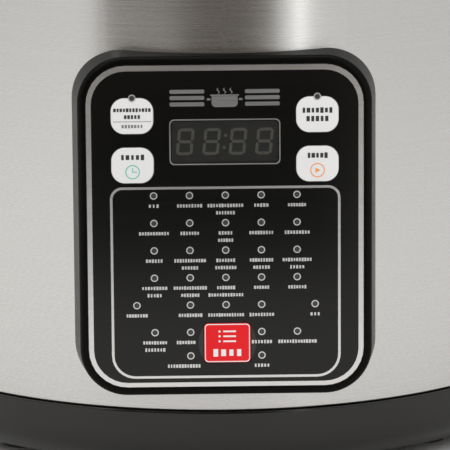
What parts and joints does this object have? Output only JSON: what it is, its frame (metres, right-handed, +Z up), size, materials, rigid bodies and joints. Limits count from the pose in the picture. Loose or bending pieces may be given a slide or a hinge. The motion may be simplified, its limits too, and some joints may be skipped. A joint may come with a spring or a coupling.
{
  "type": "electric pressure cooker",
  "caption": "Round countertop pressure cooker: brushed steel jacket on a black base, bayonet lid with steam valve, removable pot, flat front key panel.",
  "frame": {"origin": "on the table, under the middle of the pot", "axes": "+Z up, the key panel faces -Y, the side grips lie along X"},
  "size_m": [0.34, 0.3025, 0.2901],
  "materials": {
    "jacket_steel": "brushed round the jacket",
    "liner_steel": "satin",
    "lid_steel": "satin",
    "pot_steel": "brushed inside, satin outside",
    "bright_steel": "polished",
    "black_plastic": "satin",
    "base_plastic": "gloss",
    "panel_black": "gloss",
    "facing": "black, brushed across",
    "window": "dark, clear",
    "key_white": "satin",
    "key_red": "satin",
    "pipe_clear": "frosted",
    "led_body": "satin",
    "module_grey": "matt",
    "segment_grey": "matt",
    "board_green": "lacquered",
    "relay_blue": "satin",
    "core_grey": "satin",
    "capacitor_black": "satin",
    "switch_black": "satin",
    "foot_rubber": "matt",
    "seal_silicone": "matt, translucent",
    "red_silicone": "matt",
    "galvanised": "zinc plated",
    "aluminium": "cast, turned top",
    "element": "oxidised",
    "spring_steel": "bright",
    "brass": "plain",
    "fuse_white": "matt",
    "cup_clear": "clear smoked plastic"
  },
  "bodies": {
    "cooker": {"base_housing": "base_plastic", "bottom_cover": "black_plastic", "rubber_feet": "foot_rubber", "base_screws": "galvanised", "steel_jacket": "jacket_steel", "chassis_plate": "galvanised", "liner_brackets": "galvanised", "outer_pot": "liner_steel", "heat_shield": "galvanised", "heating_plate": "aluminium", "heating_element": "element", "heater_posts": "galvanised", "sensor_holder": "galvanised", "thermal_fuse": "fuse_white", "top_collar": "black_plastic", "right_grip": "black_plastic", "left_grip": "black_plastic", "mains_inlet": "black_plastic", "inlet_pins": "brass", "power_board": "board_green", "relay": "relay_blue", "transformer": "core_grey", "capacitors": "capacitor_black", "panel_bezel": "panel_black", "panel_facing": "facing", "display_window": "window", "light_pipes": "pipe_clear", "indicator_leds": "led_body", "display_module": "module_grey", "display_digits": "segment_grey", "display_board": "board_green", "board_screws": "galvanised", "key_switches": "switch_black", "sensor_spring": "spring_steel"},
    "sensor": {"temperature_sensor": "aluminium"},
    "pot": {"inner_pot": "pot_steel"},
    "cup": {"condensate_cup": "cup_clear"},
    "inner_lid": {"inner_lid": "lid_steel", "sealing_ring": "seal_silicone", "inner_lid_grommet": "seal_silicone"},
    "lid": {"pressure_lid": "lid_steel", "lid_post": "bright_steel", "lid_nuts": "galvanised", "steam_pipe": "bright_steel", "steam_filter": "bright_steel", "lid_cover": "black_plastic", "lid_band": "jacket_steel", "lid_screws": "galvanised", "lid_handle": "black_plastic", "handle_strip": "jacket_steel"},
    "steam_valve": {"steam_valve_knob": "black_plastic", "steam_valve_weight": "bright_steel"},
    "float_valve": {"float_pin": "bright_steel", "float_seal": "red_silicone"},
    "keep_warm_key": {"keep_warm_key": "key_white"},
    "delay_start_key": {"delay_start_key": "key_white"},
    "time_key": {"time_key": "key_white"},
    "start_key": {"start_key": "key_white"},
    "menu_key": {"menu_key": "key_red"}
  },
  "joints": [
    {"name": "lid_lift", "type": "slide", "parent": "cooker", "child": "inner_lid", "axis": [0, 0, 1], "range_m": [0, 0.24]},
    {"name": "lid_turn", "type": "hinge", "parent": "inner_lid", "child": "lid", "pos_m": [0, 0, 0.222], "axis": [0, 0, 1], "range_deg": [-30, 0]},
    {"name": "steam_valve_turn", "type": "hinge", "parent": "lid", "child": "steam_valve", "pos_m": [0, 0.075, 0.25], "axis": [0, 0, 1], "range_deg": [0, 45]},
    {"name": "float_valve_rise", "type": "slide", "parent": "lid", "child": "float_valve", "axis": [0, 0, 1], "range_m": [0, 0.005]},
    {"name": "pot_lift", "type": "slide", "parent": "cooker", "child": "pot", "axis": [0, 0, 1], "range_m": [0, 0.16]},
    {"name": "condensate_cup_slide", "type": "slide", "parent": "cooker", "child": "cup", "axis": [0, 1, 0], "range_m": [0, 0.035]},
    {"name": "sensor_press", "type": "slide", "parent": "cooker", "child": "sensor", "axis": [0, 0, 1], "range_m": [-0.003, 0], "stiffness_N_per_m": 400, "springref_m": 0.003, "deforming": ["sensor_spring"]},
    {"name": "keep_warm_key_press", "type": "slide", "parent": "cooker", "child": "keep_warm_key", "axis": [0, 1, 0], "range_m": [0, 0.0006], "stiffness_N_per_m": 700, "springref_m": -0.0005},
    {"name": "delay_start_key_press", "type": "slide", "parent": "cooker", "child": "delay_start_key", "axis": [0, 1, 0], "range_m": [0, 0.0006], "stiffness_N_per_m": 700, "springref_m": -0.0005},
    {"name": "time_key_press", "type": "slide", "parent": "cooker", "child": "time_key", "axis": [0, 1, 0], "range_m": [0, 0.0006], "stiffness_N_per_m": 700, "springref_m": -0.0005},
    {"name": "start_key_press", "type": "slide", "parent": "cooker", "child": "start_key", "axis": [0, 1, 0], "range_m": [0, 0.0006], "stiffness_N_per_m": 700, "springref_m": -0.0005},
    {"name": "menu_key_press", "type": "slide", "parent": "cooker", "child": "menu_key", "axis": [0, 1, 0], "range_m": [0, 0.0006], "stiffness_N_per_m": 700, "springref_m": -0.0005}
  ],
  "couplings": [
    {"joint": "pot_lift", "follows": "lid_lift", "ratio": 0.66667}
  ]
}
